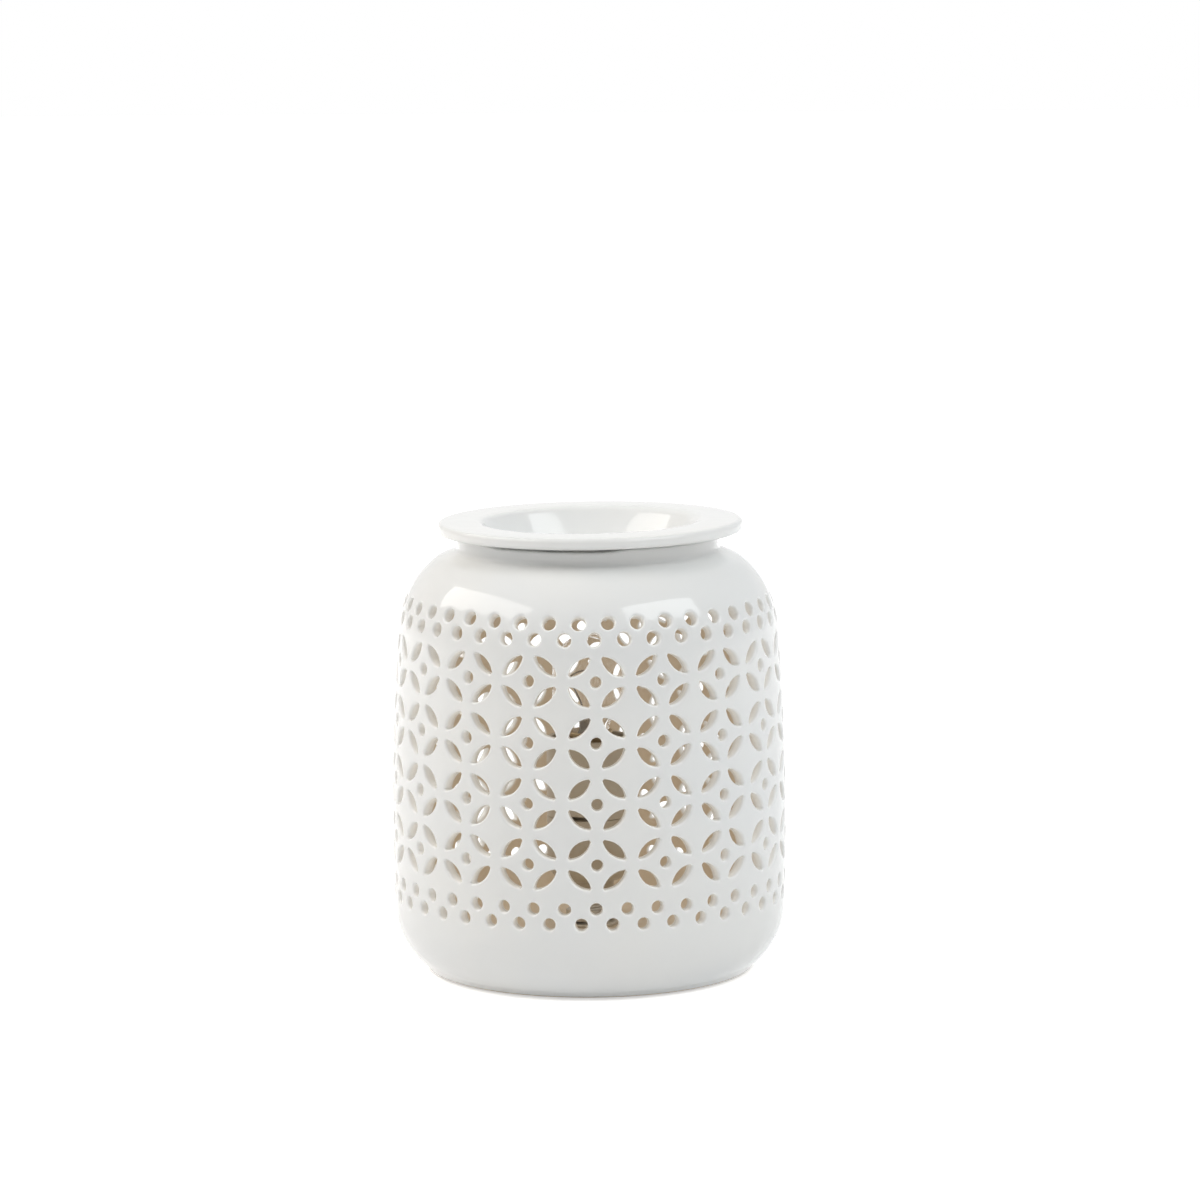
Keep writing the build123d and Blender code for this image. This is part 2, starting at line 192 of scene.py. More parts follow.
# a curve through points in the upright plane of the axis, given as radius and height
def lineCurve(name, points):
    data = bpy.data.curves.new(name, "CURVE")
    data.dimensions = "3D"
    spline = data.splines.new("POLY")
    spline.points.add(len(points) - 1)
    for point, (r, z) in zip(spline.points, points):
        point.co = (r * mm, 0, z * mm, 1)
    return addObject(name, data)


# points of a straight line, both its ends included
def split(a, b, count):
    return [(a[0] + (b[0] - a[0]) * i / count, a[1] + (b[1] - a[1]) * i / count) for i in range(count + 1)]


# the same, with points about a step apart
def between(a, b, step):
    return split(a, b, max(1, round(hypot(b[0] - a[0], b[1] - a[1]) / step)))


# points of a circle in a section, angles in degrees from level
def arc(centre, radius, start, end, steps):
    angles = [radians(start + (end - start) * i / steps) for i in range(steps + 1)]
    return [(centre[0] + radius * cos(a), centre[1] + radius * sin(a)) for a in angles]


# softens a section's corners; each point is a radius, a height and, where it is eased, by how much
def eased(points, steps=3):
    line = []
    for i, point in enumerate(points):
        here = Vector(point[:2])
        if len(point) < 3:
            line.append(tuple(here))
            continue
        back = Vector(points[i - 1][:2]) - here
        ahead = Vector(points[(i + 1) % len(points)][:2]) - here
        size = min(point[2], back.length * 0.45, ahead.length * 0.45)
        a, b = here + back.normalized() * size, here + ahead.normalized() * size
        for k in range(steps + 1):
            t = k / steps
            line.append(tuple(a * (1 - t)**2 + here * (2 * t * (1 - t)) + b * t**2))
    return line


# a smooth line from the first point to the last, drawn by the two between them
def curved(bends, steps):
    return [tuple(p) for p in interpolate_bezier(*(Vector(p) for p in bends), steps + 1)]


def onAxis(r, z, turn):
    return r * sin(turn), -r * cos(turn), z


# joins two rings of corners by faces; a ring of one corner closes a pole
def join(bm, a, b):
    count = max(len(a), len(b))
    for i in range(count):
        k = (i + 1) % count
        if len(a) == 1:
            bm.faces.new((a[0], b[k], b[i]))
        elif len(b) == 1:
            bm.faces.new((a[i], a[k], b[0]))
        else:
            bm.faces.new((a[i], a[k], b[k], b[i]))


# turns a section in millimetres, listed anticlockwise as radius and height, round an upright axis
def lathe(section, count, closed=True, place=onAxis, bm=None):
    bm = bm or bmesh.new()
    rings = []
    for r, z in section:
        turns = [2 * pi * (i + 0.5) / count for i in range(count)] if r > 1e-6 else [0]
        rings.append([bm.verts.new(Vector(place(r, z, t)) * mm) for t in turns])
    for a, b in list(zip(rings, rings[1:])) + ([(rings[-1], rings[0])] if closed else []):
        join(bm, a, b)
    return bm


# camera, where the photograph was taken

photoView = dict(
    focal=4966.9 / 1200,  # focal length over the width of the frame
    place=(0.00383, -1.60392, 0.3540),
    pitch=radians(8.2578),
    roll=radians(-0.3566),
)


def makeCamera(v):
    data = bpy.data.cameras.new("photoCamera")
    data.lens = data.sensor_width * v["focal"]
    camera = addObject("photoCamera", data)
    turn = Matrix.Rotation(pi / 2 - v["pitch"], 4, "X") @ Matrix.Rotation(v["roll"], 4, "Z")
    camera.matrix_world = Matrix.Translation(v["place"]) @ turn
    scene.camera = camera


makeCamera(photoView)
print("camera placed")


# finishes

def newMaterial(name, color, roughness, **sockets):
    material = bpy.data.materials.new(name)
    material.use_nodes = True
    shader = material.node_tree.nodes["Principled BSDF"]
    others = {socket.replace("_", " "): value for socket, value in sockets.items()}
    plug(shader, {"Base Color": (*color, 1), "Roughness": roughness, **others})
    return material, material.node_tree, shader


def noiseOn(tree, scale, detail=2):
    return wire("ShaderNodeTexNoise", {"Vector": placeOn(tree), "Scale": scale, "Detail": detail})["Fac"]


# colours along a value; a plain number stands for that grey
def ramp(fac, *stops):
    color = wire("ShaderNodeValToRGB", {0: fac})["Color"]
    marks = color.node.color_ramp.elements
    while len(marks) < len(stops):
        marks.new(0.5)
    for mark, (place, tint) in zip(marks, stops):
        mark.position = place
        mark.color = (*tint, 1) if isinstance(tint, tuple) else (tint, tint, tint, 1)
    return color


def mixColors(fac, first, second):
    return wire("ShaderNodeMix", {0: fac, 6: first, 7: second}, data_type="RGBA")[2]


def bumpFrom(height, depth):
    return wire("ShaderNodeBump", {"Height": height, "Distance": depth, "Strength": 1})[0]


glaze = dict(
    white=(0.86, 0.86, 0.845), cool=(0.84, 0.85, 0.85), gloss=0.08,
    # the brighter white on the holes' rounded rims is a painted highlight, standing in for the glints along
    # the glaze's edges
    paintedRimHighlight=(0.93, 0.93, 0.92), cutEdge=(0.88, 0.875, 0.855),
    # the inside's cream tint is partly the glaze's own warmth and partly painted warm shade for the light
    # bouncing round inside the jar
    inside=(0.86, 0.795, 0.69), bare=(0.70, 0.62, 0.51),
    # painted light: a faint warm glow on the cut walls and the inside stands in for the light that thin
    # porcelain lets through and that bounces round inside the jar
    throughCut=(1.0, 0.97, 0.9), paintedCutGlow=0.12, through=(1.0, 0.78, 0.55), paintedInsideGlow=0.08,
    footLine=1.1 * mm,  # top of the bare foot
    waves=(75, 0.06 * mm),  # scale and height of the waves in its surface
)


# white glaze over a cream body; a corner's depth in the wall runs from 0 at the skin to 1 inside
def makeGlaze(g):
    material, tree, shader = newMaterial("whiteGlaze", g["white"], g["gloss"], IOR=1.5)
    depth = wire("ShaderNodeAttribute", tree=tree, attribute_name="depth")["Fac"]
    cloud = ramp(noiseOn(tree, 22, 3), (0.35, g["cool"]), (0.65, g["white"]))
    cut = g["cutEdge"]
    # the band nearest the skin carries the painted rim highlight, the cut walls the cut colour, then the
    # inside's tint
    body = ramp(depth, (0.12, g["paintedRimHighlight"]), (0.3, cut), (0.85, cut), (0.97, g["inside"]))
    skin = mixColors(ramp(depth, (0.0, 0), (0.05, 1)), cloud, body)
    foot = calc("LESS_THAN", parts(placeOn(tree))[2], g["footLine"])
    rough = calc("MULTIPLY_ADD", ramp(depth, (0.12, 0), (0.9, 1)), 0.25, 0.05)
    rough = calc("MULTIPLY_ADD", foot, 0.5, rough)
    rough = calc("MULTIPLY_ADD", noiseOn(tree, 40), 0.05, rough)
    scale, height = g["waves"]
    # strengths of the painted glow on the cut walls and on the inside
    low, high = g["paintedCutGlow"], g["paintedInsideGlow"]
    plug(shader, {
        "Base Color": mixColors(foot, skin, (*g["bare"], 1)), "Roughness": rough,
        "Normal": bumpFrom(noiseOn(tree, scale), height),
        # this emission is painted light, a glow on the cut walls and the inside though the glaze is no lamp
        "Emission Color": ramp(depth, (0.8, g["throughCut"]), (0.97, g["through"])),
        "Emission Strength": ramp(depth, (0.08, 0), (0.4, low), (0.85, low), (0.98, high))})
    return material


# a finish with a fine mottle in its colour and, with a depth, in its surface
def makePlain(name, low, high, roughness, scale, depth=0.0, **sockets):
    material, tree, shader = newMaterial(name, low, roughness, **sockets)
    grain = noiseOn(tree, scale, 4)
    plug(shader, {"Base Color": ramp(grain, (0.3, low), (0.7, high))})
    if depth:
        plug(shader, {"Normal": bumpFrom(grain, depth * mm)})
    return material


# one finish for each slot: darker and lighter colour, roughness, then its grain's scale and depth in mm
finishes = {
    "porcelain": makeGlaze(glaze),
    "felt": makePlain("woolFelt", (0.20, 0.19, 0.18), (0.34, 0.33, 0.31), 0.95, 900, 0.4, Sheen_Weight=0.4),
    "zinc_steel": makePlain("zincSteel", (0.62, 0.61, 0.58), (0.76, 0.75, 0.72), 0.45, 300, Metallic=1.0),
    "holder_plastic": makePlain("holderPlastic", (0.62, 0.58, 0.50), (0.68, 0.64, 0.56), 0.28, 60, 0.02),
    "core_ceramic": makePlain("steatite", (0.70, 0.67, 0.60), (0.78, 0.75, 0.68), 0.6, 400, 0.03),
    "brass": makePlain("plainBrass", (0.52, 0.42, 0.27), (0.68, 0.56, 0.38), 0.38, 200, Metallic=1.0),
    "dark_glass": makePlain("blackVitrite", (0.01, 0.01, 0.012), (0.03, 0.03, 0.035), 0.12, 150),
    "solder": makePlain("solder", (0.45, 0.45, 0.45), (0.62, 0.62, 0.62), 0.4, 500, 0.05, Metallic=1.0),
    "wire": makePlain("bareWire", (0.16, 0.15, 0.14), (0.26, 0.25, 0.24), 0.35, 800, Metallic=1.0),
    "bush_rubber": makePlain("bushRubber", (0.62, 0.62, 0.60), (0.70, 0.70, 0.68), 0.55, 300, 0.03),
    "clear_glass": newMaterial("clearGlass", (1, 1, 1), 0.0, Transmission_Weight=1.0, IOR=1.45)[0],
}
mountGlass = makePlain("mountGlass", (0.78, 0.72, 0.64), (0.86, 0.81, 0.74), 0.12, 120,
                       Transmission_Weight=0.45, IOR=1.45)
print("finishes made")


# jar: lengths in millimetres, turns in degrees

jar = dict(
    bellyRadius=64.5, bellyHeight=49.0, wallArc=800.0, wallStart=22.0, wall=4.0,
    shoulderCentre=(32.05, 111.4), shoulderArc=29.9, shoulderEnd=52.5,
    shoulderTop=((48.6, 136.35), (46.6, 136.95), (44.6, 137.65)),  # flatter towards the neck's root
    rootHandles=((43.3, 138.1), (42.5, 138.1)), rootTop=140.1,
    neck=42.5, neckTop=142.3, lipRound=0.7, liftStart=139.0, liftRise=2.5,
    lipLift=0.8, dipTurn=-18.0, dipHalf=38.0, dipEdge=14.0,  # the lip is higher but for a dip
    footArc=25.3, footBottom=0.6, footRound=1.5, footMeets=1.4, footInset=1.6,
    feltSeat=48.0, seatRound=0.8, feltTop=2.2, recess=45.5, recessSlope=1.5,
    floorUnder=10.0, floorTop=14.0, floorRound=7.0, floorMiddle=30.0, stemHole=5.4,
    columns=18, rows=4, firstRow=45.8, rowPitch=19.4, columnTurn=2.21,
    petalLength=9.35, petalWidth=3.85, petalTip=0.6, petalLean=40.7, petalSide=7,
    flowerDot=1.95, dotSides=14, ringDots=40, ringSides=16,
    lowerRings=((26.5, -2.49, 2.05), (31.5, 1.82, 2.05)),  # height, turn and radius of the dots
    upperRings=((117.5, 1.85, 2.25), (122.5, -2.91, 2.25)),
    bandStart=23.2, bandEnd=126.0, bandEdge=2.5,
    # a hole's rounded rim: how far outside the hole it lies, and how deep
    rim=((0.85, 0.0), (0.5, 0.04), (0.22, 0.2), (0.05, 0.48), (0.0, 0.85), (0.0, 3.6), (0.45, 4.0)),
    fill=2.3, wobble=1.1, wobbleScale=70.0, wobbleOut=0.2, seed=7.0, around=360,
)
centreRise = jar["shoulderCentre"][1] - jar["bellyHeight"]
centreRun = jar["wallArc"] - jar["bellyRadius"] + jar["shoulderCentre"][0]
wallLow = asin((jar["wallStart"] - jar["bellyHeight"]) / jar["wallArc"])
wallHigh = atan2(centreRise, centreRun)
wallLength = jar["wallArc"] * (wallHigh - wallLow)
flatDegree = radians(1) * jar["bellyRadius"]  # one degree round the jar on the flat pattern


# length along the outside line from the wall's start up to a height
def alongWall(height):
    angle = asin((height - jar["bellyHeight"]) / jar["wallArc"])
    if angle < wallHigh:
        return jar["wallArc"] * (angle - wallLow)
    angle = asin((height - jar["shoulderCentre"][1]) / jar["shoulderArc"])
    return wallLength + jar["shoulderArc"] * (angle - wallHigh)


# radius and height of the wall at a length along its outside line, and a depth under it
def wallPoint(length, depth=0.0):
    if length < wallLength:
        angle = wallLow + length / jar["wallArc"]
        centre, radius = (jar["bellyRadius"] - jar["wallArc"], jar["bellyHeight"]), jar["wallArc"]
    else:
        angle = wallHigh + (length - wallLength) / jar["shoulderArc"]
        centre, radius = jar["shoulderCentre"], jar["shoulderArc"]
    radius -= depth
    return centre[0] + radius * cos(angle), centre[1] + radius * sin(angle)


# points of a round hole with their outward directions
def ringOutline(centre, radius, sides, widen):
    turns = [2 * pi * i / sides for i in range(sides)]
    return [((centre[0] + radius * cos(t) * widen, centre[1] + radius * sin(t)), (cos(t) * widen, sin(t)))
            for t in turns]


# points of a petal, two arcs with small round tips, with their outward directions
def petalOutline(centre, lean, j):
    tip, last = j["petalTip"], j["petalSide"] - 1
    reach = j["petalLength"] / 2 - tip
    half = j["petalWidth"] / 2 - tip
    radius = (reach**2 + half**2) / (2 * half)
    spread = degrees(asin(reach / radius))
    spots = [(0, radius, radius - half, 90 - spread + 2 * spread * i / last) for i in range(last + 1)]
    spots += [(-reach, 0, 0, 150), (-reach, 0, 0, 210)]
    outline = []
    for side in (0, 180):
        c, s = cos(radians(lean + side)), sin(radians(lean + side))
        for start, bend, sunk, degree in spots:
            u, v = cos(radians(degree)), sin(radians(degree))
            x, y = start + bend * u + tip * u, (bend + tip) * v - sunk
            spot = (centre[0] + (x * c - y * s), centre[1] + (x * s + y * c))
            outline.append((spot, (u * c - v * s, u * s + v * c)))
    return outline


def inside(point, loop):
    found = False
    for (ax, ay), (bx, by) in zip(loop, loop[1:] + loop[:1]):
        if (ay > point[1]) != (by > point[1]) and point[0] < (bx - ax) * (point[1] - ay) / (by - ay) + ax:
            found = not found
    return found


# one cell of the pattern as a flat double skin in metres: x round the jar, y up it, z out of it
def makeTile(name, border, holes, j):
    rim, fill = j["rim"], j["fill"]

    def widened(hole, offset):
        return [(x + u * offset, y + v * offset) for (x, y), (u, v) in hole]

    cuts = [widened(hole, rim[0][0]) for hole in holes]
    points, edges = [], []
    for loop in (border, *cuts):
        first = len(points)
        edges += [(first + i, first + (i + 1) % len(loop)) for i in range(len(loop))]
        points += loop
    edgeCount = len(points)

    def inTile(spot):
        return inside(spot, border) and not any(inside(spot, cut) for cut in cuts)

    low, high = ([pick(p[k] for p in border) for k in (0, 1)] for pick in (min, max))
    rowStep = fill * sqrt(3) / 2
    for row in range(int((high[1] - low[1]) / rowStep) + 1):
        for column in range(int((high[0] - low[0]) / fill) + 1):
            spot = (low[0] + (column + 0.5 * (row % 2)) * fill, low[1] + row * rowStep)
            clear = min(hypot(spot[0] - p[0], spot[1] - p[1]) for p in points[:edgeCount])
            if clear > 0.5 * fill and inTile(spot):
                points.append(spot)
    _, _, faces, origin, _, _ = delaunay_2d_cdt([Vector(p) for p in points], edges, [], 0, 1e-6)
    bm = bmesh.new()
    depthLayer = bm.verts.layers.float.new("depth")

    def addRing(line, depth):
        made = [bm.verts.new((x * mm, y * mm, -depth * mm)) for x, y in line]
        for vertex in made:
            vertex[depthLayer] = depth / j["wall"]
        return made

    outer = addRing(points, rim[0][1])
    inner = addRing(border, j["wall"])
    for hole in holes:
        inner += addRing(widened(hole, rim[-1][0]), rim[-1][1])
    inner += addRing(points[edgeCount:], j["wall"])
    for face in faces:
        corners = [origin[i][0] for i in face]
        a, b, c = (points[i] for i in corners)
        if not inTile(((a[0] + b[0] + c[0]) / 3, (a[1] + b[1] + c[1]) / 3)):
            continue
        if (b[0] - a[0]) * (c[1] - a[1]) < (c[0] - a[0]) * (b[1] - a[1]):
            corners.reverse()
        bm.faces.new([outer[i] for i in corners])
        bm.faces.new([inner[i] for i in reversed(corners)])
    first = len(border)
    for hole in holes:
        end = first + len(hole)
        rings = [outer[first:end]] + [addRing(widened(hole, off), depth) for off, depth in rim[1:-1]]
        rings.append(inner[first:end])
        for upper, lower in zip(rings, rings[1:]):
            join(bm, upper, lower)
        first = end
    return addObject(name, meshFrom(bm, name))


# a cell's edge, anticlockwise: bottom, right side up, top, left side down
def borderLine(left, right, sideSteps, aroundSteps):
    corners = [left[0], *right, *reversed(left)]
    counts = [aroundSteps, *sideSteps, aroundSteps, *reversed(sideSteps)]
    return [p for a, b, count in zip(corners, corners[1:], counts) for p in split(a, b, count)[:-1]]


def flowerTile(j, pitch):
    half = 180 / j["columns"] * flatDegree
    left, right = ([(x, -pitch / 2), (x, pitch / 2)] for x in (-half, half))
    border = borderLine(left, right, [10], j["around"] // j["columns"])
    holes = [ringOutline((0, 0), j["flowerDot"], j["dotSides"], 1)]
    for across in (-1, 1):
        for up in (-1, 1):
            spot = (across * half / 2, up * pitch / 4)
            holes.append(petalOutline(spot, -across * up * j["petalLean"], j))
    return makeTile("flowerTile", border, holes, j)


# a slanting cell with one dot of each ring of a pair
def ringTile(name, j, rings, start, end, startTurn, endTurn):
    step = 360 / j["ringDots"]
    turns = [startTurn] + [turn - step / 2 for _, turn, _ in rings] + [endTurn]
    lengths = [start] + [alongWall(height) for height, _, _ in rings] + [end]
    left = [(turn * flatDegree, length) for turn, length in zip(turns, lengths)]
    right = [(x + step * flatDegree, y) for x, y in left]
    border = borderLine(left, right, [2, 3, 2], j["around"] // j["ringDots"])
    holes = []
    for height, turn, radius in rings:
        length = alongWall(height)
        widen = j["bellyRadius"] / wallPoint(length)[0]
        holes.append(ringOutline((turn * flatDegree, length), radius, j["ringSides"], widen))
    return makeTile(name, border, holes, j)


# the parts of the jar with no holes: foot and floor below the pattern, shoulder, neck and lip above it
def plainRings(j, lowTurn, highTurn):
    bm = bmesh.new()
    depthLayer = bm.verts.layers.float.new("depth")
    low, high = alongWall(j["bandStart"]), alongWall(j["bandEnd"])
    shoulder, wall, arcIn = j["shoulderCentre"], j["wall"], j["shoulderArc"] - j["wall"]
    footCentre = (wallPoint(0)[0] - j["footArc"], j["wallStart"])
    bottom, seat, recess, floorRound = j["footBottom"], j["feltSeat"], j["recess"], j["floorRound"]
    footEnd = footCentre[0] + sqrt(j["footArc"]**2 - (j["wallStart"] - bottom - j["footMeets"])**2)
    footEdge = (footEnd - j["footInset"], bottom + j["footRound"])
    seatEdge = (seat + j["seatRound"], bottom + j["seatRound"])
    under, top, middle = j["floorUnder"], j["floorTop"], j["floorMiddle"]
    reach = sqrt((j["footArc"] - wall - floorRound)**2 - (top + floorRound - footCentre[1])**2)
    floorCentre = (footCentre[0] + reach, top + floorRound)
    rise = degrees(atan2(floorCentre[1] - footCentre[1], reach))
    bore, lip, lipHeight = j["neck"] - wall, j["lipRound"], j["neckTop"] - j["lipRound"]
    boreAngle = degrees(acos((bore - shoulder[0]) / arcIn))
    highAngle = degrees(asin((wallPoint(high)[1] - shoulder[1]) / j["shoulderArc"]))

    def marked(points, depth=0):
        return [(*p, depth) for p in points]

    lower = marked([wallPoint(low), wallPoint(0), *arc(footCentre, j["footArc"], -6, -52, 9),
                    *arc(footEdge, j["footRound"], -40, -90, 3), *arc(seatEdge, j["seatRound"], -90, -180, 3),
                    (seat, j["feltTop"])])
    lower += marked([(recess, j["feltTop"]), (recess, under - j["recessSlope"])], 0.1)
    floor = marked([(recess - j["recessSlope"], under), (middle, under), (j["stemHole"], under)], 0.1)
    floor += marked([(j["stemHole"], top), (middle, top), (floorCentre[0], top)], 1)
    upFloor = arc(floorCentre, floorRound, -72, rise, 6) + [wallPoint(0, wall), wallPoint(low, wall)]
    upFloor = marked(upFloor, 1)
    outside = arc(shoulder, j["shoulderArc"], highAngle, j["shoulderEnd"], 8)
    outside += curved((outside[-1], *j["shoulderTop"]), 5)[1:]
    outside += curved((j["shoulderTop"][-1], *j["rootHandles"], (j["neck"], j["rootTop"])), 8)[1:]
    upper = marked([*outside, *arc((j["neck"] - lip, lipHeight), lip, 0, 90, 4)])
    upper += marked(arc((bore + lip, lipHeight), lip, 90, 180, 4), 0.05)
    upper += marked([(bore, shoulder[1] + arcIn * sin(radians(boreAngle)) + 0.8)], 0.4)
    upper += marked(arc(shoulder, arcIn, boreAngle - 4, highAngle, 8), 1)

    def ring(point, turn, count):
        r, z, depth = point
        made = []
        rise = min(max((z - j["liftStart"]) / j["liftRise"], 0), 1) * j["lipLift"]
        for i in range(count):
            degree = turn + 360 * i / count
            off = abs((degree - j["dipTurn"] + 180) % 360 - 180)
            dip = min(max((j["dipHalf"] - off) / j["dipEdge"], 0), 1)
            lift = rise * (1 - dip * dip * (3 - 2 * dip))
            t = radians(degree)
            vertex = bm.verts.new((r * sin(t) * mm, -r * cos(t) * mm, (z + lift) * mm))
            vertex[depthLayer] = depth
            made.append(vertex)
        return made

    def bridge(rings, down=True):
        for a, b in zip(rings, rings[1:]):
            join(bm, *((b, a) if down else (a, b)))

    def fan(many, few, flip):
        share = len(many) // len(few)
        near = [round(i / share) % len(few) for i in range(len(many))]
        for i in range(len(many)):
            k = (i + 1) % len(many)
            faces = [(many[i], many[k], few[near[k]])]
            if near[i] != near[k]:
                faces.append((many[i], few[near[k]], few[near[i]]))
            for face in faces:
                bm.faces.new(face[::-1] if flip else face)

    count = j["around"]
    downRings = [ring(p, lowTurn, count) for p in lower]
    floorRings = [ring(p, lowTurn, count // 3) for p in floor]
    upRings = [ring(p, lowTurn, count) for p in upFloor]
    bridge(downRings)
    fan(downRings[-1], floorRings[0], True)
    bridge(floorRings)
    fan(upRings[0], floorRings[-1], False)
    bridge(upRings)
    bridge([ring(p, highTurn, count) for p in upper], down=False)
    return addObject("plainRings", meshFrom(bm, "plainRings"))


# the wall's outside line as a curve, for the pattern to be laid along, with a point every half millimetre
def wallLine(j):
    end = alongWall(j["bandEnd"] + 3)
    count = int(end / 0.5)
    return lineCurve("wallLine", [wallPoint(end * i / count) for i in range(count + 1)])


# lays the cells in rows on a flat pattern, then wraps that round the jar along its wall line
def piercedWallTree():
    tree, given = newTree(
        "piercedWall",
        Object=("Flower Tile", "Lower Ring Tile", "Upper Ring Tile", "Plain Rings", "Wall Line"),
        Int=("Columns", "Rows", "Ring Dots"),
        Float=("Column Turn", "First Row", "Row Pitch", "Radius", "Band Start", "Band End", "Band Edge",
               "Wobble", "Wobble Scale", "Wobble Out", "Seed"))

    def spread(points, tile):
        return grow("InstanceOnPoints", {"Points": points, "Instance": shapeOf(given[tile])})[0]

    def joined(*shapes):
        node = tree.nodes.new("GeometryNodeJoinGeometry")
        for shape in shapes:
            plug(node, {0: shape})
        return node.outputs[0]

    around = calc("MULTIPLY", given["Radius"], 2 * pi)
    columnStep = calc("DIVIDE", around, given["Columns"])
    gridWidth = calc("MULTIPLY", columnStep, calc("SUBTRACT", given["Columns"], 1))
    gridHeight = calc("MULTIPLY", given["Row Pitch"], calc("SUBTRACT", given["Rows"], 1))
    grid = grow("MeshGrid", {"Size X": gridWidth, "Size Y": gridHeight,
                             "Vertices X": given["Columns"], "Vertices Y": given["Rows"]})
    turned = calc("MULTIPLY", calc("MULTIPLY", given["Column Turn"], radians(1)), given["Radius"])
    middle = vector(calc("MULTIPLY_ADD", gridWidth, 0.5, turned),
                    calc("MULTIPLY_ADD", gridHeight, 0.5, given["First Row"]))
    flowerSpots = grow("Transform", {"Geometry": grid[0], "Translation": middle})
    ringStep = vector(calc("DIVIDE", around, given["Ring Dots"]))
    ringSpots = grow("MeshLine", {"Count": given["Ring Dots"], "Offset": ringStep})[0]
    cells = joined(spread(flowerSpots[0], "Flower Tile"), spread(ringSpots, "Lower Ring Tile"),
                   spread(ringSpots, "Upper Ring Tile"))
    flat = grow("RealizeInstances", {0: cells})[0]
    line = shapeOf(given["Wall Line"])

    def onWall(x, y, out):
        sample = grow("SampleCurve", {"Curves": line, "Length": y}, mode="LENGTH")
        place, along = parts(sample["Position"]), parts(sample["Tangent"])
        radius = calc("MULTIPLY_ADD", along[2], out, place[0])
        height = calc("SUBTRACT", place[2], calc("MULTIPLY", along[0], out))
        turn = calc("DIVIDE", x, given["Radius"])
        side = calc("MULTIPLY", radius, calc("SINE", turn))
        front = calc("MULTIPLY", radius, calc("MULTIPLY", calc("COSINE", turn), -1))
        return vector(side, front, height)

    x, y, out = placeIn(tree)
    noise = {"Vector": onWall(x, y, 0.0), "W": given["Seed"], "Scale": given["Wobble Scale"], "Detail": 1.0}
    drift = wire("ShaderNodeTexNoise", noise, noise_dimensions="4D")["Color"]
    driftX, driftY, driftOut = parts(vectorCalc("SUBTRACT", drift, (0.5, 0.5, 0.5)))
    start, end, edge = given["Band Start"], given["Band End"], given["Band Edge"]
    low = fadeIn(y, start, calc("ADD", start, edge))
    high = fadeIn(y, calc("SUBTRACT", end, edge), end)
    fade = calc("MULTIPLY", low, calc("SUBTRACT", 1, high))
    size = calc("MULTIPLY", given["Wobble"], fade)
    sizeOut = calc("MULTIPLY", size, given["Wobble Out"])
    wrapped = onWall(calc("MULTIPLY_ADD", driftX, size, x), calc("MULTIPLY_ADD", driftY, size, y),
                     calc("MULTIPLY_ADD", driftOut, sizeOut, out))
    wall = grow("SetPosition", {"Geometry": flat, "Position": wrapped})[0]
    whole = joined(wall, shapeOf(given["Plain Rings"]))
    welded = grow("MergeByDistance", {"Geometry": whole, "Distance": 0.03 * mm})[0]
    return endTree(grow("SetShadeSmooth", {"Geometry": welded})[0], given)


# bush for the cord in the back of the foot: its bore, and widths and heights of its oval parts
bush = dict(
    bore=2.6, hole=(10.4, 7.2), shoulder=(14.0, 7.2), start=43.4, seat=45.0, end=60.0,
    height=6.3, gap=0.04, around=64,
)


# a place on a tube along Y, stretched to each side of its middle
def onOval(b, r, y, turn, stretch):
    return sin(turn) * r + (stretch if sin(turn) > 0 else -stretch), y, b["height"] - cos(turn) * r


# the oval way through the foot that the bush fills
def bushHole(b):
    half = b["hole"][1] / 2 + b["gap"]
    stretch = (b["hole"][0] - b["hole"][1]) / 2
    place = lambda r, y, turn: onOval(b, r, y, turn, stretch)
    bm = lathe([(half, b["seat"] - 5), (half, b["end"] + 6)], b["around"], False, place)
    bmesh.ops.holes_fill(bm, edges=bm.edges)
    bmesh.ops.recalc_face_normals(bm, faces=bm.faces)
    return meshFrom(bm, "bushHole")


def makeJar(j):
    fraction = j["columnTurn"] % 1
    nearest = lambda turn: round(turn - fraction) + fraction
    half = 180 / j["ringDots"]
    (_, lowTurn, _), (_, lowNext, _) = j["lowerRings"]
    (_, highBefore, _), (_, highTurn, _) = j["upperRings"]
    start, end, first = (alongWall(j[name]) for name in ("bandStart", "bandEnd", "firstRow"))
    pitch = (alongWall(j["firstRow"] + j["rowPitch"] * (j["rows"] - 1)) - first) / (j["rows"] - 1)
    top = first + pitch * (j["rows"] - 0.5)
    cells = {
        "Flower Tile": flowerTile(j, pitch),
        "Lower Ring Tile": ringTile("lowerRingTile", j, j["lowerRings"], start, first - pitch / 2,
                                    lowTurn - half, nearest(lowNext - half)),
        "Upper Ring Tile": ringTile("upperRingTile", j, j["upperRings"], top, end,
                                    nearest(highBefore - half), highTurn - half),
        "Plain Rings": plainRings(j, lowTurn - half, highTurn - half),
        "Wall Line": wallLine(j),
    }
    lengths = {"First Row": first, "Row Pitch": pitch, "Radius": j["bellyRadius"], "Band Start": start,
               "Band End": end, "Band Edge": j["bandEdge"], "Wobble": j["wobble"]}
    others = {"Columns": j["columns"], "Rows": j["rows"], "Ring Dots": j["ringDots"], "Seed": j["seed"],
              "Column Turn": j["columnTurn"], "Wobble Scale": j["wobbleScale"], "Wobble Out": j["wobbleOut"]}
    mesh = growMesh("piercedJar", piercedWallTree(), "porcelain", lengths, {**others, **cells})
    for cell in cells.values():
        bpy.data.objects.remove(cell)
    mesh = cutAway("piercedJar", mesh, bushHole(bush))
    return newObject("piercedJar", mesh, "jar", "porcelain", "pierced_jar")


piercedJar = makeJar(jar)
print("jar:", len(piercedJar.data.polygons), "faces")


# oil dish

